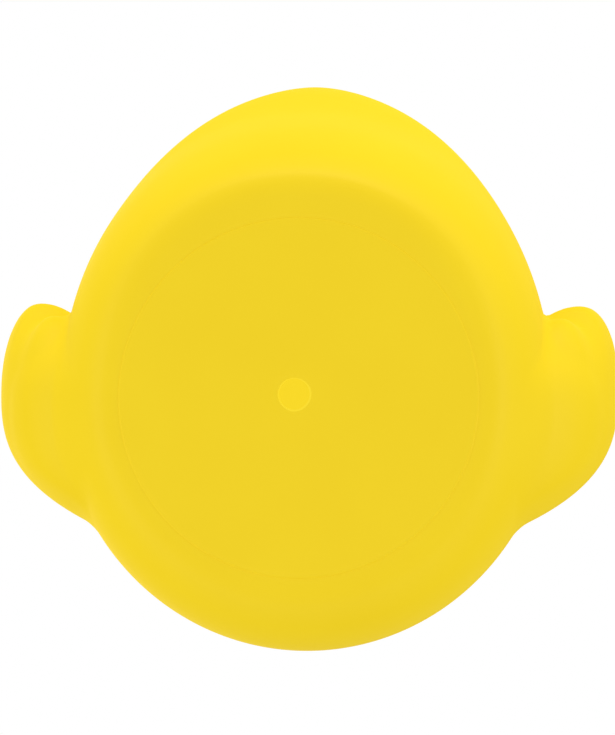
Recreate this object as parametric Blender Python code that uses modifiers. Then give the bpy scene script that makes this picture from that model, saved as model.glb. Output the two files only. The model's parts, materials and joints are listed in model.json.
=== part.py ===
"""A bath duck, moulded in one piece from soft vinyl: a hollow shell with a vent hole in its flat base.

Metres, +Z up. The breast and the bill point along -Y, the tail along +Y, and the duck stands on the floor
at height zero. The origin lies on the floor, halfway between breast and tail.
"""

import math

import bmesh
import bpy
from mathutils import Matrix, Vector

# The base that the duck stands on, and the vent hole in it
BASE_DIAMETER = 0.0462
BASE_STEP = 0.0003
BASE_PLATE = 0.0030
VENT_DIAMETER = 0.0040
VENT_SIDEWAYS = 0.0006
VENT_BACK = 0.0005
DISH_DIAMETER = 0.0120
DISH_DEPTH = 0.0002
WALL = 0.0020

# The body: reaches are measured from the middle of the base, heights from the floor
BODY_WIDTH = 0.0642
BODY_WIDEST_HEIGHT = 0.0225
BREAST_REACH = 0.0330
SHOULDER_HEIGHT = 0.0360
TAIL_REACH = 0.0415
TAIL_HEIGHT = 0.0465
BACK_HEIGHT = 0.0412
RUMP_FLAT = 0.0026

# How full the rear is seen from above: 2 is an ellipse, more is squarer and less runs to a point
RUMP_FULLNESS = 2.1
TAIL_ROOT_FULLNESS = 2.05
TAIL_EDGE_FULLNESS = 1.7
TAIL_TIP_FULLNESS = 1.45

# The neck and the head, whose middle lies in front of the middle of the base
NECK_WIDTH = 0.0304
NECK_LENGTH = 0.0320
NECK_HEIGHT = 0.0448
HEAD_WIDTH = 0.0384
HEAD_LENGTH = 0.0372
HEAD_WIDEST_HEIGHT = 0.0570
HEAD_FORWARD = 0.0064
HEIGHT = 0.0745

# The wings, each one raised shape whose rear ends in two rounded feathers with a groove between them
WING_SPAN = 0.0814
WING_THICKNESS = 0.0082
WING_ROOT = 0.0090
WING_DEPTH = 0.0210
WING_REAR = 0.0112
WING_FRONT = 0.0205
WING_HEIGHT = 0.0225
WING_BACK = 0.0013
WING_LEAN = math.radians(18)
WING_RISE = math.radians(12)
WING_FRONT_TURN = 0.0152
WING_BLUNTNESS = 2.6
TIP_LIFT = 0.0035
GROOVE_PLACE = -0.35
GROOVE_WIDTH = 0.40
GROOVE_DEPTH = 0.0010
FEATHER_NOTCH = 0.0022

# The bill, which is two rounded lips, and the eyes
BILL_WIDTH = 0.0184
BILL_PROJECTION = 0.0078
BILL_HEIGHT = 0.0530
UPPER_LIP_THICKNESS = 0.0052
LOWER_LIP_THICKNESS = 0.0042
LOWER_LIP_SETBACK = 0.0016
LIP_OVERLAP = 0.0009
LIP_SWELL = 1.0
LIP_FLATNESS = 0.5
BILL_UPTURN = 0.0012
EYE_WIDTH = 0.0062
EYE_TALL = 0.0076
EYE_RISE = 0.0005
EYE_HEIGHT = 0.0605
EYE_TURN = math.radians(41)

# How finely the round surfaces are divided
BODY_SEGMENTS = 44
BODY_RINGS = 42
CAVITY_SEGMENTS = 28
CAVITY_RINGS = 28
WING_SEGMENTS = 26
WING_RINGS = 24
SMALL_SEGMENTS = 20
SMALL_RINGS = 12

# The middle of the base, so that the origin is halfway between breast and tail
BASE_MIDDLE_Y = (BREAST_REACH - TAIL_REACH) / 2

YELLOW = (0.93, 0.62, 0.02, 1)
ORANGE = (0.85, 0.18, 0.01, 1)
BLACK = (0.01, 0.01, 0.01, 1)


def between(start, end, share):
    """The value at this share of the way from start to end."""
    return start + (end - start) * share


def eased(share):
    """The share kept between 0 and 1, with a soft start and end."""
    share = max(0, min(1, share))
    return share * share * (3 - 2 * share)


def side_outline():
    """Half widths and heights at the duck's sides, from the middle of the base up to the crown."""
    base, body, neck, head = (width / 2 for width in (BASE_DIAMETER, BODY_WIDTH, NECK_WIDTH, HEAD_WIDTH))
    return [
        (0, BASE_PLATE / 2),
        (0.97 * base, BASE_STEP),
        (between(base, body, 0.50), between(BASE_STEP, BODY_WIDEST_HEIGHT, 0.14)),
        (between(base, body, 0.87), between(BASE_STEP, BODY_WIDEST_HEIGHT, 0.49)),
        (body, BODY_WIDEST_HEIGHT),
        (between(body, neck, 0.10), between(BODY_WIDEST_HEIGHT, SHOULDER_HEIGHT, 0.56)),
        (between(body, neck, 0.24), SHOULDER_HEIGHT),
        (between(body, neck, 0.51), between(SHOULDER_HEIGHT, NECK_HEIGHT, 0.40)),
        (between(body, neck, 0.80), between(SHOULDER_HEIGHT, NECK_HEIGHT, 0.68)),
        (neck, NECK_HEIGHT),
        (between(neck, head, 0.42), between(NECK_HEIGHT, HEAD_WIDEST_HEIGHT, 0.37)),
        (head, HEAD_WIDEST_HEIGHT),
        (0.91 * head, between(HEAD_WIDEST_HEIGHT, HEIGHT, 0.49)),
        (0.58 * head, between(HEAD_WIDEST_HEIGHT, HEIGHT, 0.86)),
        (0, HEIGHT),
    ]


def front_outline():
    """Reaches and heights down the middle of the breast and the face."""
    base = BASE_DIAMETER / 2
    throat = HEAD_FORWARD + NECK_LENGTH / 2
    face = HEAD_FORWARD + HEAD_LENGTH / 2
    return [
        (0, BASE_PLATE / 2),
        (0.97 * base, BASE_STEP),
        (between(base, BREAST_REACH, 0.50), between(BASE_STEP, BODY_WIDEST_HEIGHT, 0.14)),
        (between(base, BREAST_REACH, 0.87), between(BASE_STEP, BODY_WIDEST_HEIGHT, 0.49)),
        (BREAST_REACH, BODY_WIDEST_HEIGHT),
        (between(BREAST_REACH, throat, 0.11), between(BODY_WIDEST_HEIGHT, NECK_HEIGHT, 0.37)),
        (between(BREAST_REACH, throat, 0.39), between(BODY_WIDEST_HEIGHT, NECK_HEIGHT, 0.65)),
        (between(BREAST_REACH, throat, 0.70), between(BODY_WIDEST_HEIGHT, NECK_HEIGHT, 0.84)),
        (between(BREAST_REACH, throat, 0.93), between(BODY_WIDEST_HEIGHT, NECK_HEIGHT, 0.97)),
        (throat, NECK_HEIGHT * 1.035),
        (between(throat, face, 0.50), between(NECK_HEIGHT, HEAD_WIDEST_HEIGHT, 0.42)),
        (face, HEAD_WIDEST_HEIGHT),
        (between(HEAD_FORWARD, face, 0.91), between(HEAD_WIDEST_HEIGHT, HEIGHT, 0.49)),
        (between(HEAD_FORWARD, face, 0.58), between(HEAD_WIDEST_HEIGHT, HEIGHT, 0.86)),
        (HEAD_FORWARD, HEIGHT),
    ]


def rear_outline():
    """Reaches and heights up the rump, round the tail's tip, along the back and up the head."""
    base = BASE_DIAMETER / 2
    nape = NECK_LENGTH / 2 - HEAD_FORWARD
    poll = HEAD_LENGTH / 2 - HEAD_FORWARD
    return [
        (0, BASE_PLATE / 2),
        (0.97 * base + RUMP_FLAT, BASE_STEP),
        (between(base, TAIL_REACH, 0.40), between(BASE_STEP, TAIL_HEIGHT, 0.075)),
        (between(base, TAIL_REACH, 0.63), between(BASE_STEP, TAIL_HEIGHT, 0.26)),
        (between(base, TAIL_REACH, 0.80), between(BASE_STEP, TAIL_HEIGHT, 0.54)),
        (between(base, TAIL_REACH, 0.98), between(BASE_STEP, TAIL_HEIGHT, 0.78)),
        (between(base, TAIL_REACH, 0.985), between(BASE_STEP, TAIL_HEIGHT, 0.95)),
        (between(nape, TAIL_REACH, 0.85), TAIL_HEIGHT),
        (between(nape, TAIL_REACH, 0.46), between(BACK_HEIGHT, TAIL_HEIGHT, 0.08)),
        (nape, NECK_HEIGHT),
        (between(nape, poll, 0.30), between(NECK_HEIGHT, HEAD_WIDEST_HEIGHT, 0.40)),
        (poll, HEAD_WIDEST_HEIGHT),
        (between(-HEAD_FORWARD, poll, 0.91), between(HEAD_WIDEST_HEIGHT, HEIGHT, 0.49)),
        (between(-HEAD_FORWARD, poll, 0.58), between(HEAD_WIDEST_HEIGHT, HEIGHT, 0.86)),
        (-HEAD_FORWARD, HEIGHT),
    ]


def middles():
    """How far behind the base's middle each level has its own middle."""
    on_body = [0] * 7
    along_back = [-0.06 * HEAD_FORWARD, -0.5 * HEAD_FORWARD]
    on_head = [-HEAD_FORWARD] * 6
    return on_body + along_back + on_head


def fullnesses():
    """How full the rear of each level is, from the base's middle up to the crown."""
    on_rump = [RUMP_FULLNESS] * 5
    on_tail = [TAIL_ROOT_FULLNESS, TAIL_EDGE_FULLNESS, TAIL_TIP_FULLNESS, TAIL_EDGE_FULLNESS]
    on_head = [2] * 6
    return on_rump + on_tail + on_head


def body_levels():
    """One row for each level: half width, front and rear lengths, middle, three heights and fullness."""
    levels = []
    outlines = zip(side_outline(), front_outline(), rear_outline(), middles(), fullnesses())
    for side, front, rear, middle, fullness in outlines:
        lengths = (side[0], front[0] + middle, rear[0] - middle)
        levels.append((*lengths, middle, side[1], front[1], rear[1], fullness))
    return levels


def past_pole(level):
    """The level that a smooth line meets after a pole: its widths change sign and its places stay."""
    width, front, rear, *places = level
    return (-width, -front, -rear, *places)


def level_at(levels, share):
    """The level at this share of the smooth lines that run through all the levels, from pole to pole."""
    place = share * (len(levels) - 1)
    first = min(int(place), len(levels) - 2)
    t = place - first
    rows = [past_pole(levels[1]), *levels, past_pole(levels[-2])][first : first + 4]
    values = []
    for before, low, high, after in zip(*rows):
        slope = (high - before) / 2
        bend = before - 2.5 * low + 2 * high - after / 2
        twist = 1.5 * (low - high) + (after - before) / 2
        values.append(low + slope * t + bend * t**2 + twist * t**3)
    return values


def body_point(levels, share, turn):
    """A point of the body's skin, by its share of the way from base to crown and its turn round the level."""
    width, front, rear, middle, *heights, fullness = level_at(levels, share)
    side_height, front_height, rear_height = heights
    across = math.cos(turn)
    back = math.sin(turn)
    reach = front
    end_height = front_height
    if back > 0:
        reach = rear
        end_height = rear_height
        across = math.copysign(abs(across) ** (2 / fullness), across)
        back **= 2 / fullness
    height = between(side_height, end_height, back * back)
    return Vector((width * across, BASE_MIDDLE_Y + middle + reach * back, height))


def new_object(name, mesh, collection, *materials):
    """An object in this collection, shaded smooth and carrying these materials."""
    thing = bpy.data.objects.new(name, mesh)
    for material in materials:
        mesh.materials.append(material)
    mesh.shade_smooth()
    collection.objects.link(thing)
    return thing


def mesh_from(name, shape):
    """The mesh that this bmesh holds, with its faces pointing out."""
    bmesh.ops.recalc_face_normals(shape, faces=shape.faces)
    mesh = bpy.data.meshes.new(name)
    shape.to_mesh(mesh)
    shape.free()
    return mesh


def unit_sphere(segments, rings):
    shape = bmesh.new()
    bmesh.ops.create_uvsphere(shape, u_segments=segments, v_segments=rings, radius=1)
    return shape


def body_shape(segments, rings):
    """A sphere whose every level takes the body's own section."""
    shape = unit_sphere(segments, rings)
    levels = body_levels()
    for vertex in shape.verts:
        share = 0.5 + math.asin(max(-1, min(1, vertex.co.z))) / math.pi
        turn = math.atan2(vertex.co.y, vertex.co.x)
        vertex.co = body_point(levels, share, turn)
    bmesh.ops.recalc_face_normals(shape, faces=shape.faces)
    return shape


def cavity_shape():
    """The hollow inside the body: its skin, one wall's thickness further in."""
    shape = body_shape(CAVITY_SEGMENTS, CAVITY_RINGS)
    inward = [(vertex, vertex.normal * -WALL) for vertex in shape.verts]
    for vertex, step in inward:
        vertex.co += step
    return shape


def wing_point(along, turn):
    """A point of the +X wing, from -1 at its front to 1 at its tips, and by the turn round its length."""
    front = max(0, -along)
    rear = max(0, along)
    round_end = math.sqrt(1 - along * along)
    blunt_end = (1 - rear**WING_BLUNTNESS) ** (1 / WING_BLUNTNESS) if rear else round_end
    upward = math.sin(turn) * blunt_end
    outward = math.cos(turn) * round_end
    in_groove = eased(1 - abs(upward - GROOVE_PLACE) / GROOVE_WIDTH)
    length = WING_REAR * rear - WING_FRONT * front - FEATHER_NOTCH * in_groove * rear**3
    depth = WING_DEPTH / 2 * upward
    thickness = WING_THICKNESS / 2 if outward > 0 else WING_ROOT
    groove = GROOVE_DEPTH * in_groove * rear * max(0, math.cos(turn))
    x = thickness * outward - groove + math.sin(WING_LEAN) * depth - WING_FRONT_TURN * front**3
    y = BASE_MIDDLE_Y + WING_BACK + length
    lift = math.sin(WING_RISE) * length + TIP_LIFT * rear**2
    z = WING_HEIGHT + lift + math.cos(WING_LEAN) * depth
    return Vector((x, y, z))


def wing_shape():
    """A sphere with its poles along Y, drawn out into the wing."""
    shape = unit_sphere(WING_SEGMENTS, WING_RINGS)
    for vertex in shape.verts:
        along = max(-1, min(1, vertex.co.z))
        turn = math.atan2(vertex.co.y, vertex.co.x)
        vertex.co = wing_point(along, turn)
    outermost = max(vertex.co.x for vertex in shape.verts)
    bmesh.ops.translate(shape, vec=(WING_SPAN / 2 - outermost, 0, 0), verts=shape.verts)
    return shape


def lip_shape(width, thickness, setback, height, outer_side):
    """One lip of the bill: a flattened sphere, half sunk in the face, that grows thicker towards it."""
    face = BASE_MIDDLE_Y - HEAD_FORWARD - HEAD_LENGTH / 2
    length = BILL_PROJECTION - setback
    shape = unit_sphere(SMALL_SEGMENTS, SMALL_RINGS)
    for vertex in shape.verts:
        x, y, z = vertex.co
        swell = 1 + LIP_SWELL * (1 + y) if z * outer_side > 0 else LIP_FLATNESS
        upturn = BILL_UPTURN * min(0, y) ** 2
        vertex.co = Vector((x * width / 2, face + y * length, height + z * thickness * swell / 2 + upturn))
    return shape


def share_at_height(levels, height, turn):
    """The share of the way up the body, above the neck, at which its skin reaches this height."""
    low, high = 0.7, 1
    for _ in range(30):
        middle = (low + high) / 2
        if body_point(levels, middle, turn).z < height:
            low = middle
        else:
            high = middle
    return low


def eye_shape():
    """The +X eye: an oval button that lies on the head's skin and stands a little proud of it."""
    levels = body_levels()
    turn = EYE_TURN - math.pi / 2
    share = share_at_height(levels, EYE_HEIGHT, turn)
    step = 0.001
    around = body_point(levels, share, turn + step) - body_point(levels, share, turn - step)
    upward = body_point(levels, share + step, turn) - body_point(levels, share - step, turn)
    outward = around.cross(upward).normalized()
    depth = 3 * EYE_RISE
    middle = body_point(levels, share, turn) + (EYE_RISE - depth) * outward
    aim = outward.to_track_quat("X", "Z").to_matrix().to_4x4()
    size = Matrix.Diagonal((depth, EYE_WIDTH / 2, EYE_TALL / 2, 1))
    shape = unit_sphere(SMALL_SEGMENTS, SMALL_RINGS)
    bmesh.ops.transform(shape, matrix=Matrix.Translation(middle) @ aim @ size, verts=shape.verts)
    return shape


def cylinder(radius, low, high, x, y, segments):
    """An upright round shape from height low to height high."""
    shape = bmesh.new()
    bmesh.ops.create_cone(
        shape,
        cap_ends=True,
        segments=segments,
        radius1=radius,
        radius2=radius,
        depth=high - low,
        matrix=Matrix.Translation((x, y, (low + high) / 2)),
    )
    return shape


def mirrored(thing):
    """Adds the same shape on the other side of the duck."""
    mirror = thing.modifiers.new("other side", "MIRROR")
    mirror.merge_threshold = 0.0001
    return thing


def join_or_cut(target, tool, operation):
    """Joins the tool to the target, or cuts it away, and keeps the tool out of the render."""
    step = target.modifiers.new(tool.name, "BOOLEAN")
    step.operation = operation
    step.object = tool
    step.solver = "EXACT"
    step.material_mode = "TRANSFER"
    tool.hide_render = True
    tool.display_type = "WIRE"


def new_material(name, colour, roughness):
    material = bpy.data.materials.new(name)
    material.use_nodes = True
    shader = material.node_tree.nodes["Principled BSDF"]
    shader.inputs["Base Color"].default_value = colour
    shader.inputs["Roughness"].default_value = roughness
    shader.inputs["Metallic"].default_value = 0
    material.diffuse_color = colour
    return material


def new_collection(name):
    collection = bpy.data.collections.new(name)
    bpy.context.scene.collection.children.link(collection)
    return collection


def clear_scene():
    for thing in list(bpy.data.objects):
        bpy.data.objects.remove(thing)


def main():
    clear_scene()
    parts = new_collection("bath_duck")
    tools = new_collection("cutters")

    vinyl = new_material("yellow vinyl", YELLOW, 0.35)
    bill_paint = new_material("orange paint", ORANGE, 0.35)
    eye_paint = new_material("black paint", BLACK, 0.25)

    duck = new_object("duck", mesh_from("duck", body_shape(BODY_SEGMENTS, BODY_RINGS)), parts, vinyl)

    wings = mirrored(new_object("wings", mesh_from("wings", wing_shape()), tools, vinyl))
    upper_lip = lip_shape(BILL_WIDTH, UPPER_LIP_THICKNESS, 0, BILL_HEIGHT, 1)
    upper = new_object("upper_lip", mesh_from("upper_lip", upper_lip), tools, bill_paint)
    lower_width = BILL_WIDTH - 2 * LOWER_LIP_SETBACK
    flat_sides = LIP_FLATNESS * (UPPER_LIP_THICKNESS + LOWER_LIP_THICKNESS) / 2
    lower_height = BILL_HEIGHT + LIP_OVERLAP - flat_sides
    lower_lip = lip_shape(lower_width, LOWER_LIP_THICKNESS, LOWER_LIP_SETBACK, lower_height, -1)
    lower = new_object("lower_lip", mesh_from("lower_lip", lower_lip), tools, bill_paint)
    eyes = mirrored(new_object("eyes", mesh_from("eyes", eye_shape()), tools, eye_paint))
    plate = cylinder(BASE_DIAMETER / 2, 0, BASE_PLATE, 0, BASE_MIDDLE_Y, 2 * BODY_SEGMENTS)
    base = new_object("base", mesh_from("base", plate), tools, vinyl)
    for tool in (wings, lower, upper, eyes, base):
        join_or_cut(duck, tool, "UNION")

    cavity = new_object("cavity", mesh_from("cavity", cavity_shape()), tools, vinyl)
    vent_x = VENT_SIDEWAYS
    vent_y = BASE_MIDDLE_Y + VENT_BACK
    dish_cut = cylinder(DISH_DIAMETER / 2, -BASE_PLATE, DISH_DEPTH, vent_x, vent_y, BODY_SEGMENTS)
    dish = new_object("dish", mesh_from("dish", dish_cut), tools, vinyl)
    through = BASE_PLATE + BASE_STEP + WALL
    vent_cut = cylinder(VENT_DIAMETER / 2, -through, 2 * through, vent_x, vent_y, SMALL_SEGMENTS)
    vent = new_object("vent", mesh_from("vent", vent_cut), tools, vinyl)
    for tool in (cavity, dish, vent):
        join_or_cut(duck, tool, "DIFFERENCE")


main()
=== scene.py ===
# %% [markdown]
# # A bath duck, seen from below
# A bath duck is one hollow moulding of soft vinyl. The maker spins liquid vinyl in a hot mould until it
# coats the wall, then pulls the soft skin out. So there is one piece and no seam, every corner is
# rounded, and where the wings and the bill leave the body the skin flows over in a soft hollow.
# This lesson builds that skin in Blender, paints it, and looks at it from below, as the picture does.

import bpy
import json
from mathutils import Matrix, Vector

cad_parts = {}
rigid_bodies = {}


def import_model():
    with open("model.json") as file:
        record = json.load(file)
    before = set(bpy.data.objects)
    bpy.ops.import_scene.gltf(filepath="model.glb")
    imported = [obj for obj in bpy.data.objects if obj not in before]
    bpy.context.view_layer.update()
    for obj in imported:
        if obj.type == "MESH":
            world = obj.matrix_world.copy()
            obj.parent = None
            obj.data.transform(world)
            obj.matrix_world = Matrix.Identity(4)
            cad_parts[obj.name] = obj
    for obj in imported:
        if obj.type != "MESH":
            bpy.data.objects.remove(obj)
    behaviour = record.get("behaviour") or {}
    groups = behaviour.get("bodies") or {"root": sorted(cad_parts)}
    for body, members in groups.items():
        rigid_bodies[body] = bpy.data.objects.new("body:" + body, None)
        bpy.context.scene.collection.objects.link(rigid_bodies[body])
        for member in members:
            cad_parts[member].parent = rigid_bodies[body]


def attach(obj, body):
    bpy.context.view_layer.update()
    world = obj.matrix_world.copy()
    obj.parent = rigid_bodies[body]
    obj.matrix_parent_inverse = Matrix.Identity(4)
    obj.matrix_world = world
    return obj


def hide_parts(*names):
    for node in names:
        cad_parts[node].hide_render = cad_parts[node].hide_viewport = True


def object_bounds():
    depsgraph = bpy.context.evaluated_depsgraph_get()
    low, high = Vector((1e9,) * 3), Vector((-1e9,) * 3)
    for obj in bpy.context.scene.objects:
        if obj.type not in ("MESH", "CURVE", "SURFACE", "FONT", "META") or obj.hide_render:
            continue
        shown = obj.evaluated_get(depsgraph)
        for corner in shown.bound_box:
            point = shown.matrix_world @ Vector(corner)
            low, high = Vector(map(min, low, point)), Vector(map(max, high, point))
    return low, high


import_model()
cad_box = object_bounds()
print("solid model, in metres:", [round(high - low, 4) for low, high in zip(*cad_box)])

# %% Modules for the meshes and the numbers
import json
import math

import bmesh
import bpy
from mathutils import Matrix, Vector
from mathutils.bvhtree import BVHTree

MM = 0.001

# %% [markdown]
# ## The size of the duck
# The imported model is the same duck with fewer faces. Its box gives the span of the wings and the height,
# and the other sizes here are the maker's own, in millimetres. Reaches are measured from the middle of the
# base and heights from the floor.

# %% Sizes
low_corner, high_corner = cad_box
WING_SPAN = high_corner.x - low_corner.x
HEIGHT = high_corner.z
BASE_DIAMETER = 46.2 * MM
BODY_WIDTH = 64.2 * MM
BODY_WIDEST_HEIGHT = 22.5 * MM
BREAST_REACH = 33 * MM
SHOULDER_HEIGHT = 36 * MM
TAIL_REACH = 41.5 * MM
TAIL_HEIGHT = 46.5 * MM
BACK_HEIGHT = 41.2 * MM
NECK_WIDTH = 30.4 * MM
NECK_LENGTH = 32 * MM
NECK_HEIGHT = 44.8 * MM
HEAD_WIDTH = 38.4 * MM
HEAD_LENGTH = 37.2 * MM
HEAD_WIDEST_HEIGHT = 57 * MM
HEAD_FORWARD = 6.4 * MM
WALL = 2 * MM
BASE_MIDDLE_Y = (BREAST_REACH - TAIL_REACH) / 2
print("base middle at y =", round(BASE_MIDDLE_Y / MM, 2), "mm")

# %% [markdown]
# ## Outlines of the body
# The body, neck and head are one round form whose width and depth change with height, like a vase that
# isn't round. Three outlines describe it: at the sides, down the front and up the rear. They have the
# same number of points, so that the sixth point of each lies on one ring, the widest one. Where the
# surface is near flat the points are far apart, and at the base's edge they are close.


# %% A share of the way between two values
def between(start, end, share):
    """The value at this share of the way from start to end."""
    return start + (end - start) * share


def eased(share):
    """The share kept between 0 and 1, with a soft start and end."""
    share = max(0, min(1, share))
    return share * share * (3 - 2 * share)


# %% The skin's lowest levels, just above the underside of the base plate
PLATE_PROUD = 0.12 * MM
FLAT_MARGIN = 0.4 * MM
RUMP_FLAT = 2.6 * MM
FLAT_REACH = BASE_DIAMETER / 2 + FLAT_MARGIN
RUMP_FLAT_REACH = FLAT_REACH + RUMP_FLAT


def lower_levels(reach, height):
    """The five lowest points of an outline: flat under the base, then curving up to its widest point."""
    return [
        (0, PLATE_PROUD),
        (0.6 * FLAT_REACH, PLATE_PROUD),
        (FLAT_REACH, PLATE_PROUD),
        (between(FLAT_REACH, reach, 0.50), 0.14 * height),
        (between(FLAT_REACH, reach, 0.87), 0.49 * height),
    ]


# %% The three outlines
def side_outline():
    """Half widths and heights at the duck's sides, from the middle of the base up to the crown."""
    body, neck, head = BODY_WIDTH / 2, NECK_WIDTH / 2, HEAD_WIDTH / 2
    return lower_levels(body, BODY_WIDEST_HEIGHT) + [
        (body, BODY_WIDEST_HEIGHT),
        (between(body, neck, 0.10), between(BODY_WIDEST_HEIGHT, SHOULDER_HEIGHT, 0.56)),
        (between(body, neck, 0.24), SHOULDER_HEIGHT),
        (between(body, neck, 0.51), between(SHOULDER_HEIGHT, NECK_HEIGHT, 0.40)),
        (between(body, neck, 0.80), between(SHOULDER_HEIGHT, NECK_HEIGHT, 0.68)),
        (neck, NECK_HEIGHT),
        (between(neck, head, 0.42), between(NECK_HEIGHT, HEAD_WIDEST_HEIGHT, 0.37)),
        (head, HEAD_WIDEST_HEIGHT),
        (0.91 * head, between(HEAD_WIDEST_HEIGHT, HEIGHT, 0.49)),
        (0.58 * head, between(HEAD_WIDEST_HEIGHT, HEIGHT, 0.86)),
        (0, HEIGHT),
    ]


def front_outline():
    """Reaches and heights down the middle of the breast and the face."""
    throat = HEAD_FORWARD + NECK_LENGTH / 2
    face = HEAD_FORWARD + HEAD_LENGTH / 2
    return lower_levels(BREAST_REACH, BODY_WIDEST_HEIGHT) + [
        (BREAST_REACH, BODY_WIDEST_HEIGHT),
        (between(BREAST_REACH, throat, 0.11), between(BODY_WIDEST_HEIGHT, NECK_HEIGHT, 0.37)),
        (between(BREAST_REACH, throat, 0.39), between(BODY_WIDEST_HEIGHT, NECK_HEIGHT, 0.65)),
        (between(BREAST_REACH, throat, 0.70), between(BODY_WIDEST_HEIGHT, NECK_HEIGHT, 0.84)),
        (between(BREAST_REACH, throat, 0.93), between(BODY_WIDEST_HEIGHT, NECK_HEIGHT, 0.97)),
        (throat, NECK_HEIGHT * 1.035),
        (between(throat, face, 0.50), between(NECK_HEIGHT, HEAD_WIDEST_HEIGHT, 0.42)),
        (face, HEAD_WIDEST_HEIGHT),
        (between(HEAD_FORWARD, face, 0.91), between(HEAD_WIDEST_HEIGHT, HEIGHT, 0.49)),
        (between(HEAD_FORWARD, face, 0.58), between(HEAD_WIDEST_HEIGHT, HEIGHT, 0.86)),
        (HEAD_FORWARD, HEIGHT),
    ]


def rear_outline():
    """Reaches and heights up the rump, round the tail's tip, along the back and up the head."""
    nape = NECK_LENGTH / 2 - HEAD_FORWARD
    poll = HEAD_LENGTH / 2 - HEAD_FORWARD
    return [
        (0, PLATE_PROUD),
        (0.6 * RUMP_FLAT_REACH, PLATE_PROUD),
        (RUMP_FLAT_REACH, PLATE_PROUD),
        (between(FLAT_REACH, TAIL_REACH, 0.39), 0.07 * TAIL_HEIGHT),
        (between(FLAT_REACH, TAIL_REACH, 0.62), 0.26 * TAIL_HEIGHT),
        (between(FLAT_REACH, TAIL_REACH, 0.79), 0.54 * TAIL_HEIGHT),
        (between(FLAT_REACH, TAIL_REACH, 0.98), 0.78 * TAIL_HEIGHT),
        (between(FLAT_REACH, TAIL_REACH, 0.985), 0.95 * TAIL_HEIGHT),
        (between(nape, TAIL_REACH, 0.85), TAIL_HEIGHT),
        (between(nape, TAIL_REACH, 0.46), between(BACK_HEIGHT, TAIL_HEIGHT, 0.08)),
        (nape, NECK_HEIGHT),
        (between(nape, poll, 0.30), between(NECK_HEIGHT, HEAD_WIDEST_HEIGHT, 0.40)),
        (poll, HEAD_WIDEST_HEIGHT),
        (between(-HEAD_FORWARD, poll, 0.91), between(HEAD_WIDEST_HEIGHT, HEIGHT, 0.49)),
        (between(-HEAD_FORWARD, poll, 0.58), between(HEAD_WIDEST_HEIGHT, HEIGHT, 0.86)),
        (-HEAD_FORWARD, HEIGHT),
    ]


# %% How full the rear is at each level, seen from above: 2 is an ellipse, and less runs to a point
RUMP_FULLNESS = 2.1
TAIL_ROOT_FULLNESS = 2.05
TAIL_EDGE_FULLNESS = 1.7
TAIL_TIP_FULLNESS = 1.45
ROUND = 2
TAIL_FULLNESSES = [TAIL_ROOT_FULLNESS, TAIL_EDGE_FULLNESS, TAIL_TIP_FULLNESS, TAIL_EDGE_FULLNESS]
FULLNESSES = [RUMP_FULLNESS] * 6 + TAIL_FULLNESSES + [ROUND] * 6
print("fullness at the tail:", TAIL_FULLNESSES)

# %% One row for each level, whose middle moves forward with the head
MIDDLES = [0] * 8 + [-0.06 * HEAD_FORWARD, -0.5 * HEAD_FORWARD] + [-HEAD_FORWARD] * 6
LEVELS = [
    (side[0], front[0] + middle, rear[0] - middle, middle, side[1], front[1], rear[1], fullness)
    for side, front, rear, middle, fullness in zip(
        side_outline(), front_outline(), rear_outline(), MIDDLES, FULLNESSES
    )
]
print(len(LEVELS), "levels from base to crown")

# %% [markdown]
# ## A sphere that takes the body's form
# A sphere has the right make-up for a round hollow toy: rings from pole to pole and no edge anywhere.
# So the body starts as `create_uvsphere`, and each of its points is moved to the place on the duck that
# has the same turn and the same share of the way up. A smooth line through the levels gives the rings in
# between.


# %% A smooth line through the levels
def past_pole(level):
    """The level that a smooth line meets after passing a pole: its widths change sign."""
    width, front, rear, *places = level
    return (-width, -front, -rear, *places)


def smooth_value(before, start, end, after, share):
    """The value at this share of the way from start to end, on a smooth line through all four."""
    return (
        start
        + (end - before) * share / 2
        + (before - 2.5 * start + 2 * end - after / 2) * share**2
        + (1.5 * (start - end) + (after - before) / 2) * share**3
    )


def level_at(share):
    """The level at this share of the smooth line through all the levels, from pole to pole."""
    place = share * (len(LEVELS) - 1)
    first = min(int(place), len(LEVELS) - 2)
    rows = [past_pole(LEVELS[1]), *LEVELS, past_pole(LEVELS[-2])][first : first + 4]
    return [smooth_value(*values, place - first) for values in zip(*rows)]


def body_point(share, turn):
    """A point of the body's skin, by the share of the way from base to crown and the turn round the level."""
    width, front, rear, middle, side_height, front_height, rear_height, fullness = level_at(share)
    across, back = math.cos(turn), math.sin(turn)
    reach, end_height = front, front_height
    if back > 0:
        reach, end_height = rear, rear_height
        across = math.copysign(abs(across) ** (2 / fullness), across)
        back **= 2 / fullness
    height = between(side_height, end_height, back * back)
    return Vector((width * across, BASE_MIDDLE_Y + middle + reach * back, height))


# %% The body as a fine sphere
def unit_sphere(segments, rings):
    """A sphere with a radius of 1 and its poles on the upright axis."""
    shape = bmesh.new()
    bmesh.ops.create_uvsphere(shape, u_segments=segments, v_segments=rings, radius=1)
    return shape


def body_shape(segments, rings):
    """A sphere whose every ring takes the body's own section."""
    shape = unit_sphere(segments, rings)
    for point in shape.verts:
        share = 0.5 + math.asin(max(-1, min(1, point.co.z))) / math.pi
        point.co = body_point(share, math.atan2(point.co.y, point.co.x))
    bmesh.ops.recalc_face_normals(shape, faces=shape.faces)
    return shape


body = body_shape(192, 180)
print("body:", len(body.faces), "faces")

# %% [markdown]
# ## The wings
# Each wing is a raised leaf on the duck's side. Its front melts into the body, and its rear ends in two
# rounded feathers with a groove between them. A sphere with its poles along the wing gives the leaf: the
# rear half is blunter than the front, the outer side is pressed in along the groove, and the inner side
# reaches deep into the body, so that the two grow together.

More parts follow.
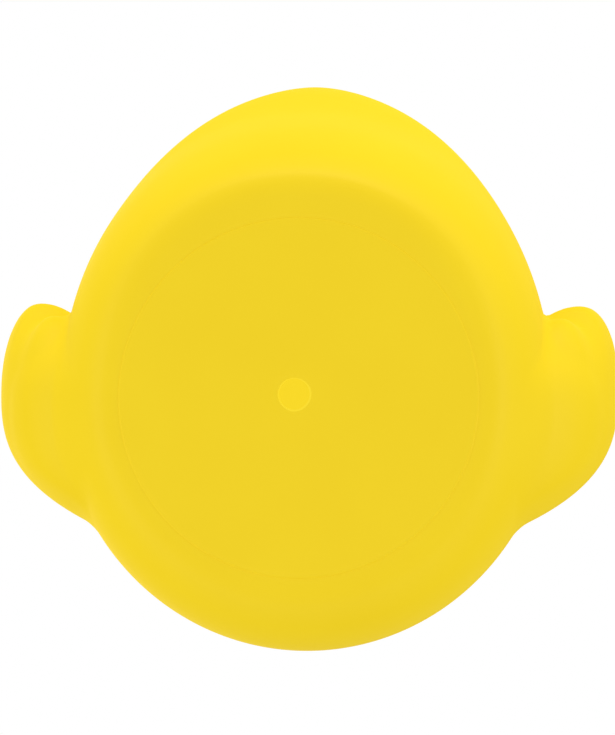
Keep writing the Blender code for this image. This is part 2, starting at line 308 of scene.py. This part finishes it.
# %% Sizes of a wing
WING_THICKNESS = 8.2 * MM
WING_ROOT = 9 * MM
WING_DEPTH = 21 * MM
WING_REAR = 11.2 * MM
WING_FRONT = 20.5 * MM
WING_HEIGHT = 22.5 * MM
WING_BACK = 1.3 * MM
WING_LEAN = math.radians(18)
WING_RISE = math.radians(12)
WING_FRONT_TURN = 15.2 * MM
WING_BLUNTNESS = 2.6
TIP_LIFT = 3.5 * MM
GROOVE_PLACE = -0.35
GROOVE_WIDTH = 0.4
GROOVE_DEPTH = 1.0 * MM
FEATHER_NOTCH = 2.2 * MM
WING_Y = BASE_MIDDLE_Y + WING_BACK


# %% A point of the wing and the wing itself
def wing_point(along, turn):
    """A point of the +X wing, from -1 at its front to 1 at the tips, and by the turn round its length."""
    front, rear = max(0, -along), max(0, along)
    round_end = math.sqrt(1 - along * along)
    blunt_end = (1 - rear**WING_BLUNTNESS) ** (1 / WING_BLUNTNESS) if rear else round_end
    upward = math.sin(turn) * blunt_end
    outward = math.cos(turn) * round_end
    in_groove = eased(1 - abs(upward - GROOVE_PLACE) / GROOVE_WIDTH)
    length = WING_REAR * rear - WING_FRONT * front - FEATHER_NOTCH * in_groove * rear**3
    depth = WING_DEPTH / 2 * upward
    thickness = WING_THICKNESS / 2 if outward > 0 else WING_ROOT
    groove = GROOVE_DEPTH * in_groove * rear * max(0, math.cos(turn))
    x = thickness * outward - groove + math.sin(WING_LEAN) * depth - WING_FRONT_TURN * front**3
    y = WING_Y + length
    z = WING_HEIGHT + math.sin(WING_RISE) * length + math.cos(WING_LEAN) * depth
    z += TIP_LIFT * rear * rear
    return Vector((x, y, z))


def wing_shape():
    """The +X wing, slid out until its outermost point is half of the span from the middle."""
    shape = unit_sphere(112, 96)
    for point in shape.verts:
        along = max(-1, min(1, point.co.z))
        point.co = wing_point(along, math.atan2(point.co.y, point.co.x))
    outermost = max(point.co.x for point in shape.verts)
    bmesh.ops.translate(shape, vec=(WING_SPAN / 2 - outermost, 0, 0), verts=shape.verts)
    bmesh.ops.recalc_face_normals(shape, faces=shape.faces)
    return shape


wing = wing_shape()
print("wing:", len(wing.faces), "faces")

# %% [markdown]
# ## The bill
# From below the breast hides the bill. It is finished as such ducks have it: two rounded lips, the upper
# one wider and turned up at its tip, with the line of the mouth where they meet.

# %% Sizes of the bill
BILL_WIDTH = 18.4 * MM
BILL_PROJECTION = 7.8 * MM
BILL_HEIGHT = 53 * MM
UPPER_LIP = 5.2 * MM
LOWER_LIP = 4.2 * MM
LOWER_SETBACK = 1.6 * MM
LIP_OVERLAP = 0.9 * MM
LIP_FLATNESS = 0.5
LIP_UPTURN = 1.2 * MM
FACE_Y = BASE_MIDDLE_Y - HEAD_FORWARD - HEAD_LENGTH / 2


# %% The two lips
def lip_shape(width, thickness, setback, height, outer_side):
    """A flattened sphere, half sunk in the face, that grows thicker towards the face."""
    length = BILL_PROJECTION - setback
    shape = unit_sphere(80, 48)
    for point in shape.verts:
        x, y, z = point.co
        swell = 2 + y if z * outer_side > 0 else LIP_FLATNESS
        upturn = LIP_UPTURN * min(0, y) ** 2
        point.co = Vector((x * width / 2, FACE_Y + y * length, height + z * thickness * swell / 2 + upturn))
    bmesh.ops.recalc_face_normals(shape, faces=shape.faces)
    return shape


lower_height = BILL_HEIGHT + LIP_OVERLAP - LIP_FLATNESS * (UPPER_LIP + LOWER_LIP) / 2
upper_lip = lip_shape(BILL_WIDTH, UPPER_LIP, 0, BILL_HEIGHT, 1)
lower_lip = lip_shape(BILL_WIDTH - 2 * LOWER_SETBACK, LOWER_LIP, LOWER_SETBACK, lower_height, -1)
print("bill tip at y =", round(min(point.co.y for point in upper_lip.verts) / MM, 2), "mm")

# %% [markdown]
# ## Soft vinyl
# Vinyl for toys is coloured right through and takes the mould's satin polish. So the material is a
# Principled shader with a warm yellow that drifts a little, a fine grain and a soft gloss. The gloss fades
# where the skin turns away from the eye, because the soft skin shows no bright rim. Bill and eyes are
# sprayed on with masks, so their edges are crisp. The hollow that shows in the vent is a little lighter
# than the skin: light coming through the wall is painted on its inside as a glow.


# %% Colours and nodes
def linear(hex_colour):
    """The linear colour of an sRGB hex value."""
    parts = [int(hex_colour[start : start + 2], 16) / 255 for start in (1, 3, 5)]
    return (*[part / 12.92 if part <= 0.04045 else ((part + 0.055) / 1.055) ** 2.4 for part in parts], 1)


def add_node(tree, kind, settings=None, links=None):
    """A new node with its properties and input values set, and its inputs linked from other sockets."""
    node = tree.nodes.new(kind)
    for name, value in (settings or {}).items():
        if isinstance(name, str) and hasattr(node, name):
            setattr(node, name, value)
        else:
            node.inputs[name].default_value = value
    for name, socket in (links or {}).items():
        tree.links.new(socket, node.inputs[name])
    return node


def new_material(name):
    """An empty node material, with its node tree and no nodes in it."""
    material = bpy.data.materials.new(name)
    material.use_nodes = True
    material.node_tree.nodes.clear()
    return material, material.node_tree


# %% The vinyl: a warm yellow for the eye, with a grain that takes the hardness off its gloss
YELLOW = "#F1D018"
LIGHTER_YELLOW = "#F4D51C"
ORANGE = "#EE7A12"
CLOUD_SIZE = 14 * MM
GRAIN_SIZE = 0.5 * MM
GRAIN_DEPTH = 0.02 * MM
PAINT_EDGE = 0.06
ROUGHNESS_FACING = 0.38
ROUGHNESS_AT_RIM = 1.0
vinyl, tree = new_material("satin yellow vinyl")
places = add_node(tree, "ShaderNodeTexCoord")
clouds = add_node(
    tree, "ShaderNodeTexNoise", {"Scale": 1 / CLOUD_SIZE, "Detail": 2}, {"Vector": places.outputs["Object"]}
)
yellow = add_node(
    tree,
    "ShaderNodeMix",
    {"data_type": "RGBA", 6: linear(YELLOW), 7: linear(LIGHTER_YELLOW)},
    {0: clouds.outputs["Fac"]},
)
grain = add_node(
    tree, "ShaderNodeTexNoise", {"Scale": 1 / GRAIN_SIZE, "Detail": 2}, {"Vector": places.outputs["Object"]}
)
bump = add_node(
    tree, "ShaderNodeBump", {"Strength": 0.15, "Distance": GRAIN_DEPTH}, {"Height": grain.outputs["Fac"]}
)
bill = add_node(tree, "ShaderNodeAttribute", {"attribute_name": "bill"})
painted = add_node(
    tree,
    "ShaderNodeMapRange",
    {"From Min": -PAINT_EDGE, "From Max": PAINT_EDGE},
    {"Value": bill.outputs["Fac"]},
)
colour = add_node(
    tree,
    "ShaderNodeMix",
    {"data_type": "RGBA", 7: linear(ORANGE)},
    {0: painted.outputs["Result"], 6: yellow.outputs[2]},
)
facing = add_node(tree, "ShaderNodeLayerWeight", {"Blend": 0.5})
roughness = add_node(
    tree,
    "ShaderNodeMapRange",
    {"From Min": 0.15, "From Max": 0.55, "To Min": ROUGHNESS_FACING, "To Max": ROUGHNESS_AT_RIM},
    {"Value": facing.outputs["Facing"]},
)
shader = add_node(
    tree,
    "ShaderNodeBsdfPrincipled",
    {"IOR": 1.5, "Specular IOR Level": 0.15},
    {
        "Base Color": colour.outputs[2],
        "Roughness": roughness.outputs["Result"],
        "Normal": bump.outputs["Normal"],
    },
)
add_node(tree, "ShaderNodeOutputMaterial", links={"Surface": shader.outputs["BSDF"]})
print("vinyl nodes:", len(tree.nodes))

# %% The hollow's own face, with a painted glow that stands in for the light coming through the wall
inner, tree = new_material("inner vinyl with painted glow")
shader = add_node(
    tree,
    "ShaderNodeBsdfPrincipled",
    {
        "Base Color": linear("#6B5A10"),
        "Roughness": 0.6,
        "Specular IOR Level": 0.1,
        "Emission Color": linear("#F9DE2D"),
        "Emission Strength": 0.85,
    },
)
add_node(tree, "ShaderNodeOutputMaterial", links={"Surface": shader.outputs["BSDF"]})

# %% The eyes' paint, a near black with a small clear highlight
black, tree = new_material("glossy black paint")
shader = add_node(
    tree,
    "ShaderNodeBsdfPrincipled",
    {"Base Color": linear("#151313"), "Roughness": 0.22, "Specular IOR Level": 0.5},
)
add_node(tree, "ShaderNodeOutputMaterial", links={"Surface": shader.outputs["BSDF"]})

# %% [markdown]
# ## One skin
# The body, the wings and the lips overlap. The Remesh modifier in voxel mode lays a fresh, even mesh over
# all of them, and leaves out what lies inside, as the mould does. Half a millimetre a face is fine enough
# for the feathers. A voxel mesh has a sharp fold where two forms meet, which the next step rounds.


# %% Put the shapes in one mesh
def added(target, source, mirror=False):
    """Adds the points and faces of one bmesh to another, on the other side of the duck if mirror is set."""
    mesh = bpy.data.meshes.new("part of the skin")
    source.to_mesh(mesh)
    if mirror:
        mesh.transform(Matrix.Scale(-1, 4, (1, 0, 0)))
        mesh.flip_normals()
    target.from_mesh(mesh)
    bpy.data.meshes.remove(mesh)


whole = bmesh.new()
added(whole, body)
added(whole, wing)
added(whole, wing, mirror=True)
added(whole, upper_lip)
added(whole, lower_lip)
skin_mesh = bpy.data.meshes.new("duck_skin")
whole.to_mesh(skin_mesh)
skin = bpy.data.objects.new("duck_skin", skin_mesh)
bpy.context.scene.collection.objects.link(skin)


# %% Lay the even mesh over them
def apply_modifiers(thing):
    """Keeps what the object's modifiers make, and clears them."""
    graph = bpy.context.evaluated_depsgraph_get()
    made = bpy.data.meshes.new_from_object(thing.evaluated_get(graph))
    thing.modifiers.clear()
    old = thing.data
    thing.data = made
    bpy.data.meshes.remove(old)
    made.name = thing.name


VOXEL = 0.56 * MM
remesh = skin.modifiers.new("even skin", "REMESH")
remesh.mode = "VOXEL"
remesh.voxel_size = VOXEL
remesh.use_smooth_shade = True
apply_modifiers(skin)
print("skin:", len(skin.data.vertices), "points")

# %% [markdown]
# ## Round the folds
# Where a wing leaves the body the vinyl flows over in a soft hollow, so the fold has to be smoothed and
# the rest left alone. For each point of the skin the script measures how far it is from the body and how
# far from the wing or lip: at the fold both are near zero. That gives a weight, which a Smooth modifier
# reads.


# %% How wide the fairing is beside a wing and beside the lips
FAIRING_LEAST = 0.9 * MM
FAIRING_MOST = 10 * MM
LIP_FAIRING = 1.0 * MM
FAIRING_TOP = 27 * MM
FADE_DOWN = 10 * MM
FADE_ALONG = 9 * MM
SOFTNESS_LEAST = 0.12
LIP_SOFTNESS = 0.15
WING_SIDE_X = 15 * MM
FACE_DEPTH = 6 * MM


def fairing_share(place):
    """1 under the wing, where the maker filled the corner with clay, and 0 above it and at both its ends."""
    under = eased((FAIRING_TOP - place.z) / FADE_DOWN)
    ahead_of_tips = eased((WING_Y + 0.7 * WING_REAR - place.y) / FADE_ALONG)
    behind_front = eased((place.y - WING_Y + 0.85 * WING_FRONT) / FADE_ALONG)
    return under * ahead_of_tips * behind_front


# %% How near each point is to a fold, where the second nearest form is close too
body_tree = BVHTree.FromBMesh(body)
wing_tree = BVHTree.FromBMesh(wing)
upper_tree = BVHTree.FromBMesh(upper_lip)
lower_tree = BVHTree.FromBMesh(lower_lip)


def fold_at(place):
    """How wide the fairing is here, how near the fold is, from 0 to 1, and how strongly to smooth it."""
    place = Vector((abs(place.x), place.y, place.z))
    if place.x > WING_SIDE_X and place.z < NECK_HEIGHT:
        share = fairing_share(place)
        trees = (body_tree, wing_tree)
        width = between(FAIRING_LEAST, FAIRING_MOST, share)
        softness = between(SOFTNESS_LEAST, 1, share)
    elif place.y < FACE_Y + FACE_DEPTH and place.z > NECK_HEIGHT:
        trees = (body_tree, upper_tree, lower_tree)
        width = LIP_FAIRING
        softness = LIP_SOFTNESS
    else:
        return 0, 0, 0
    second = sorted(tree.find_nearest(place)[3] for tree in trees)[1]
    return width, max(0, 1 - second / width), softness


# %% Fill the folds, and smooth what is there
FIRST_ROUNDS = 4
FOLD_ROUNDS = 80
LAST_ROUNDS = 2
FOLD_FILL = 0.25
WEIGHT_GAIN = 1.5


def smooth(thing, times, group=""):
    """Adds a Smooth modifier, which works on one group of points or, without a group, on all of them."""
    smoothing = thing.modifiers.new("smooth " + group, "SMOOTH")
    smoothing.factor = 0.5
    smoothing.iterations = times
    smoothing.vertex_group = group


smooth(skin, FIRST_ROUNDS)
apply_modifiers(skin)
folds = skin.vertex_groups.new(name="folds")
moves = []
for point in skin.data.vertices:
    width, near, softness = fold_at(point.co)
    if near > 0:
        moves.append((point, point.normal * (FOLD_FILL * width * near * near)))
        folds.add([point.index], softness * eased(near * WEIGHT_GAIN), "REPLACE")
for point, move in moves:
    point.co += move
print("points moved beside the folds:", len(moves))
smooth(skin, FOLD_ROUNDS, "folds")
smooth(skin, LAST_ROUNDS)
apply_modifiers(skin)
skin.vertex_groups.clear()

# %% [markdown]
# ## The base, the hollow and the vent
# The duck stands on a round plate that is a hair's breadth proud of the belly: all that shows of it is a
# thin line. As such bases do, it sinks a little towards its middle, so that the duck stands on the rim, and
# swells again round the vent. Plate, dish and vent are round, so each is turned from a profile with `spin`,
# and Boolean modifiers join or cut them. The hollow is the body's own form, one wall further in.

# %% Sizes of the base
VENT_DIAMETER = 4 * MM
VENT_X = 0.6 * MM
VENT_Y = BASE_MIDDLE_Y + 0.5 * MM
VENT_ROUNDING = 0.25 * MM
RIM_SLOPE = 0.25 * MM
PLATE_THICKNESS = 1.8 * MM
STANDING_RING = 1.1 * MM
DISH_DEPTH = 0.9 * MM
SWELL_DIAMETER = 16 * MM
SWELL_DEPTH = 0.8 * MM
print("base:", round(BASE_DIAMETER / MM, 1), "mm wide, with a vent of", round(VENT_DIAMETER / MM, 1), "mm")


# %% Turn a profile round an upright axis
def turned(profile, x, y, steps):
    """A closed solid round an upright axis, from (radius, height) points that begin and end on the axis."""
    shape = bmesh.new()
    points = [shape.verts.new((x + radius, y, height)) for radius, height in profile]
    edges = [shape.edges.new(pair) for pair in zip(points, points[1:])]
    bmesh.ops.spin(
        shape,
        geom=points + edges,
        cent=(x, y, 0),
        axis=(0, 0, 1),
        angle=2 * math.pi,
        steps=steps,
        use_merge=True,
    )
    bmesh.ops.remove_doubles(shape, verts=shape.verts, dist=1e-6)
    bmesh.ops.recalc_face_normals(shape, faces=shape.faces)
    return shape


def dish_height(radius):
    """How far above the floor the base is at this distance from its middle."""
    reach = BASE_DIAMETER / 2 - STANDING_RING
    sunk = DISH_DEPTH * eased((reach - radius) / (0.6 * reach))
    swell = SWELL_DEPTH * eased(1 - radius / (SWELL_DIAMETER / 2))
    return sunk - swell


DISH_STEPS = 56
RIM_STEPS = 6
PLATE_STEPS = 224
ring_inside = BASE_DIAMETER / 2 - RIM_SLOPE
radii = [ring_inside * step / DISH_STEPS for step in range(DISH_STEPS)]
plate_profile = [(radius, dish_height(radius)) for radius in radii]
slope_shares = [step / RIM_STEPS for step in range(2 * RIM_STEPS)]
plate_profile += [(ring_inside + RIM_SLOPE * share, PLATE_PROUD * share**2) for share in slope_shares]
plate_profile += [(plate_profile[-1][0], PLATE_THICKNESS), (0, PLATE_THICKNESS)]
plate = turned(plate_profile, 0, BASE_MIDDLE_Y, PLATE_STEPS)
print("plate:", len(plate.faces), "faces,", round(dish_height(SWELL_DIAMETER / 2) / MM, 2), "mm deep")


# %% Tools that join or cut
def tool_object(name, shape, material):
    """A new object with this shape and material."""
    mesh = bpy.data.meshes.new(name)
    shape.to_mesh(mesh)
    mesh.materials.append(material)
    thing = bpy.data.objects.new(name, mesh)
    bpy.context.scene.collection.objects.link(thing)
    return thing


def join_or_cut(target, shape, operation, material=vinyl):
    """Joins the shape to the target or cuts it away, which leaves its own material on the new faces."""
    tool = tool_object("tool", shape, material)
    boolean = target.modifiers.new("tool", "BOOLEAN")
    boolean.operation = operation
    boolean.object = tool
    boolean.solver = "EXACT"
    boolean.material_mode = "TRANSFER"
    apply_modifiers(target)
    bpy.data.objects.remove(tool)


# %% Ease the belly up where it would reach under the floor, so that the duck stands on its plate
BELLY_EASE = 0.1 * MM
for point in skin.data.vertices:
    spare = point.co.z - PLATE_PROUD
    point.co.z = PLATE_PROUD + (spare + math.hypot(spare, BELLY_EASE)) / 2
print("lowest part of the belly:", round(min(point.co.z for point in skin.data.vertices) / MM, 3), "mm")

# %% Clear the belly under the dish, then put the plate in
PLATE_OVERLAP = 0.3 * MM
ROOM_OVER_DISH = 0.4 * MM
CLEARED_STEPS = 128
cleared_radius = BASE_DIAMETER / 2 - PLATE_OVERLAP
cleared_height = DISH_DEPTH + ROOM_OVER_DISH
skin.data.materials.append(vinyl)
cleared = [(0, -MM), (cleared_radius, -MM), (cleared_radius, cleared_height), (0, cleared_height)]
join_or_cut(skin, turned(cleared, 0, BASE_MIDDLE_Y, CLEARED_STEPS), "DIFFERENCE")
join_or_cut(skin, plate, "UNION")

# %% The hollow, one wall's thickness inside the skin
cavity = body_shape(64, 60)
inward = [(point, point.normal * -WALL) for point in cavity.verts]
for point, move in inward:
    point.co += move
# The hollow's faces take the inner vinyl with the painted glow.
join_or_cut(skin, cavity, "DIFFERENCE", inner)
print("skin with its hollow:", len(skin.data.polygons), "faces")

# %% The vent, whose rim is rounded by a quarter turn
ROUNDING_STEPS = 4
VENT_STEPS = 64
vent_depth = 3 * WALL
vent_height = dish_height(VENT_DIAMETER / 2)
vent_profile = [(0, -vent_depth), (VENT_DIAMETER / 2 + VENT_ROUNDING, -vent_depth)]
for step in range(ROUNDING_STEPS + 1):
    angle = math.pi / 2 * step / ROUNDING_STEPS
    radius = VENT_DIAMETER / 2 + VENT_ROUNDING * (1 - math.sin(angle))
    vent_profile.append((radius, vent_height + VENT_ROUNDING * (1 - math.cos(angle))))
vent_profile += [(VENT_DIAMETER / 2, vent_depth), (0, vent_depth)]
# The vent's wall takes the same inner vinyl with the painted glow.
join_or_cut(skin, turned(vent_profile, VENT_X, VENT_Y, VENT_STEPS), "DIFFERENCE", inner)

# %% [markdown]
# ## The eyes
# Each eye is a raised oval in the mould, which a masked spray later turns black. It is a flattened sphere
# on the head's surface, turned to face along it, and joined to the skin.

# %% Sizes of an eye
EYE_WIDTH = 6.2 * MM
EYE_TALL = 7.6 * MM
EYE_RISE = 0.5 * MM
EYE_DEPTH = 3 * EYE_RISE
EYE_HEIGHT = 60.5 * MM
EYE_TURN = math.radians(41)


# %% Find its place on the head
HEAD_SHARE = 0.7
HALVINGS = 30
NUDGE = 0.001


def share_at_height(height, turn):
    """The share of the way up at which the head's skin reaches this height, found by halving."""
    low, high = HEAD_SHARE, 1
    for _ in range(HALVINGS):
        middle = (low + high) / 2
        if body_point(middle, turn).z < height:
            low = middle
        else:
            high = middle
    return low


eye_turn = EYE_TURN - math.pi / 2
eye_share = share_at_height(EYE_HEIGHT, eye_turn)
around = body_point(eye_share, eye_turn + NUDGE) - body_point(eye_share, eye_turn - NUDGE)
upward = body_point(eye_share + NUDGE, eye_turn) - body_point(eye_share - NUDGE, eye_turn)
outward = around.cross(upward).normalized()
print("the eye faces", [round(value, 2) for value in outward])

# %% The oval itself, for both sides
eye_middle = body_point(eye_share, eye_turn) + (EYE_RISE - EYE_DEPTH) * outward
eye = unit_sphere(64, 48)
bmesh.ops.transform(
    eye,
    matrix=Matrix.Translation(eye_middle)
    @ outward.to_track_quat("X", "Z").to_matrix().to_4x4()
    @ Matrix.Diagonal((EYE_DEPTH, EYE_WIDTH / 2, EYE_TALL / 2, 1)),
    verts=eye.verts,
)
eyes = bmesh.new()
added(eyes, eye)
added(eyes, eye, mirror=True)
join_or_cut(skin, eyes, "UNION", black)

# %% Shade the skin smooth, with a crease only where it turns sharply
SHARP_ANGLE = math.radians(35)
skin.data.shade_smooth()
skin.data.set_sharp_from_angle(angle=SHARP_ANGLE)
print("finished skin:", sum(len(face.vertices) - 2 for face in skin.data.polygons), "triangles")

# %% [markdown]
# ## The paint on the bill
# The spray reaches whatever stands out of the head's own form near the bill. So each point keeps how far it
# stands out, in millimetres beyond the paint's edge, in an attribute that the vinyl reads. Elsewhere the
# value is below zero, which leaves the skin yellow.

# %% Where the bill is painted
PAINT_LINE = 0.35 * MM
PAINT_DEPTH = 3 * MM
PAINT_HALF_HEIGHT = 8 * MM
UNPAINTED = -1


def height_over_head(place):
    """How far this place stands out of the head's own form."""
    nearest, normal, _, distance = body_tree.find_nearest(place)
    return math.copysign(distance, (place - nearest).dot(normal))


on_bill = skin.data.attributes.new("bill", "FLOAT", "POINT")
for point, value in zip(skin.data.vertices, on_bill.data):
    level_with_bill = abs(point.co.z - BILL_HEIGHT) < PAINT_HALF_HEIGHT
    near_bill = point.co.y < FACE_Y + PAINT_DEPTH and level_with_bill
    value.value = (height_over_head(point.co) - PAINT_LINE) / MM if near_bill else UNPAINTED
print("painted points:", sum(value.value > 0 for value in on_bill.data))

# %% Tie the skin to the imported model
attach(skin, "root")
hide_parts("duck")

# %% [markdown]
# ## The floor
# The duck stands on a pale floor. The picture looks up at its base, so the camera is under the floor,
# which is clear from its underside and lets the lamps through, and plain and pale from above. To the
# camera a share of it is plain white, so it stays pale away from the lamps and still keeps the shadow.

# %% The floor
FLOOR_GLOW = 0.55
FLOOR_SIZE = 0.8
FLOOR_DROP = 0.05 * MM
floor_shape = bmesh.new()
bmesh.ops.create_grid(floor_shape, x_segments=1, y_segments=1, size=FLOOR_SIZE)
bmesh.ops.translate(floor_shape, vec=(0, 0, -FLOOR_DROP), verts=floor_shape.verts)
paint, tree = new_material("pale matt floor")
matt = add_node(tree, "ShaderNodeBsdfPrincipled", {"Base Color": linear("#F4F4F2"), "Roughness": 0.9})
glow = add_node(tree, "ShaderNodeEmission", {"Color": (1, 1, 1, 1), "Strength": 1.0})
rays = add_node(tree, "ShaderNodeLightPath")
glow_share = add_node(
    tree, "ShaderNodeMath", {"operation": "MULTIPLY", 1: FLOOR_GLOW}, {0: rays.outputs["Is Camera Ray"]}
)
pale = add_node(
    tree,
    "ShaderNodeMixShader",
    links={0: glow_share.outputs["Value"], 1: matt.outputs["BSDF"], 2: glow.outputs["Emission"]},
)
clear = add_node(tree, "ShaderNodeBsdfTransparent")
side = add_node(tree, "ShaderNodeNewGeometry")
mixed = add_node(
    tree,
    "ShaderNodeMixShader",
    links={0: side.outputs["Backfacing"], 1: pale.outputs["Shader"], 2: clear.outputs["BSDF"]},
)
add_node(tree, "ShaderNodeOutputMaterial", links={"Surface": mixed.outputs["Shader"]})
floor = tool_object("floor", floor_shape, paint)
floor.visible_shadow = False
floor.visible_diffuse = False
floor.visible_glossy = False

# %% [markdown]
# ## The light
# Most of the light is soft and comes from all round. Large square lamps add to it. The strongest one is at
# the tail, so the underside of the tail is the brightest place in the picture, and weaker ones are at the
# sides, below and above. The camera doesn't see the lamps.

# %% The world: white to the camera, soft light to the duck
SOFT_LIGHT = 0.86
world = bpy.data.worlds.new("studio")
bpy.context.scene.world = world
world.use_nodes = True
tree = world.node_tree
tree.nodes.clear()
rays = add_node(tree, "ShaderNodeLightPath")
plain_view = add_node(
    tree,
    "ShaderNodeMath",
    {"operation": "MAXIMUM"},
    {0: rays.outputs["Is Camera Ray"], 1: rays.outputs["Is Transmission Ray"]},
)
seen = add_node(
    tree,
    "ShaderNodeMath",
    {"operation": "MAXIMUM"},
    {0: plain_view.outputs["Value"], 1: rays.outputs["Is Glossy Ray"]},
)
white = add_node(tree, "ShaderNodeBackground", {"Color": (1, 1, 1, 1), "Strength": 1.0})
soft = add_node(tree, "ShaderNodeBackground", {"Color": (1, 1, 1, 1), "Strength": SOFT_LIGHT})
both = add_node(
    tree,
    "ShaderNodeMixShader",
    links={0: seen.outputs["Value"], 1: soft.outputs["Background"], 2: white.outputs["Background"]},
)
add_node(tree, "ShaderNodeOutputWorld", links={"Surface": both.outputs["Shader"]})


# %% The lamps
def softbox(name, direction, distance, size, power):
    """A square area lamp that shines at the duck from this direction."""
    lamp = bpy.data.lights.new(name, "AREA")
    lamp.size = size
    lamp.energy = power
    thing = bpy.data.objects.new(name, lamp)
    target = Vector((0, 0, HEIGHT / 2))
    way = Vector(direction).normalized()
    thing.location = target + way * distance
    thing.rotation_euler = way.to_track_quat("Z", "Y").to_euler()
    thing.visible_camera = False
    bpy.context.scene.collection.objects.link(thing)


SIDE_DISTANCE = 0.9
SIDE_SIZE = 0.6
softbox("tail side", (-0.05, 1, 0.18), SIDE_DISTANCE, SIDE_SIZE, 3.1)
softbox("left side", (1, 0, -0.25), SIDE_DISTANCE, SIDE_SIZE, 0.8)
softbox("right side", (-1, 0, -0.25), SIDE_DISTANCE, SIDE_SIZE, 1.15)
softbox("breast side", (0.8, -0.6, -0.3), SIDE_DISTANCE, SIDE_SIZE, 0.5)
softbox("below", (0, 0, -1), distance=1.3, size=1.2, power=1.1)
softbox("above", (0.5, -0.1, 1), distance=1.1, size=0.3, power=2.6)

# %% [markdown]
# ## The camera
# The camera has a long lens, about a metre under the duck and nearly square to its base. In the picture
# the tail is at the top. The duck's left side is a little nearer, which moves the base off the middle. The
# picture is taller than it is wide, so the sensor's size and the image's height set the lens.

# %% The camera
IMAGE_HEIGHT = 735
SENSOR = 36
PIXELS_PER_METRE = 7580
CAMERA_DISTANCE = 0.967
SIDE_TILT = math.radians(-2.82)
BACK_TILT = math.radians(0.50)
ROLL = math.radians(0.35)
MIDDLE_HEIGHT = 30 * MM
MIDDLE_PIXEL = (311.6, 367.8)
CENTRE_PIXEL = (309, 368.5)

turn = Matrix.Rotation(BACK_TILT, 3, "X") @ Matrix.Rotation(SIDE_TILT, 3, "Y")
from_view = turn.transposed() @ Matrix(((-1, 0, 0), (0, 1, 0), (0, 0, -1)))
from_view = from_view @ Matrix.Rotation(ROLL, 3, "Z")
aside = (CENTRE_PIXEL[0] - MIDDLE_PIXEL[0]) / PIXELS_PER_METRE
down = (CENTRE_PIXEL[1] - MIDDLE_PIXEL[1]) / PIXELS_PER_METRE
lens = bpy.data.cameras.new("camera")
lens.sensor_width = SENSOR
lens.lens = PIXELS_PER_METRE * CAMERA_DISTANCE * SENSOR / IMAGE_HEIGHT
lens.clip_start = 0.01
lens.clip_end = 20
camera = bpy.data.objects.new("camera", lens)
camera.matrix_world = Matrix.Translation(
    Vector((0, 0, MIDDLE_HEIGHT)) + from_view @ Vector((aside, -down, CAMERA_DISTANCE))
) @ from_view.to_4x4()
bpy.context.scene.collection.objects.link(camera)
bpy.context.scene.camera = camera
bpy.context.scene.view_settings.view_transform = "Standard"
print("lens:", round(lens.lens), "mm")
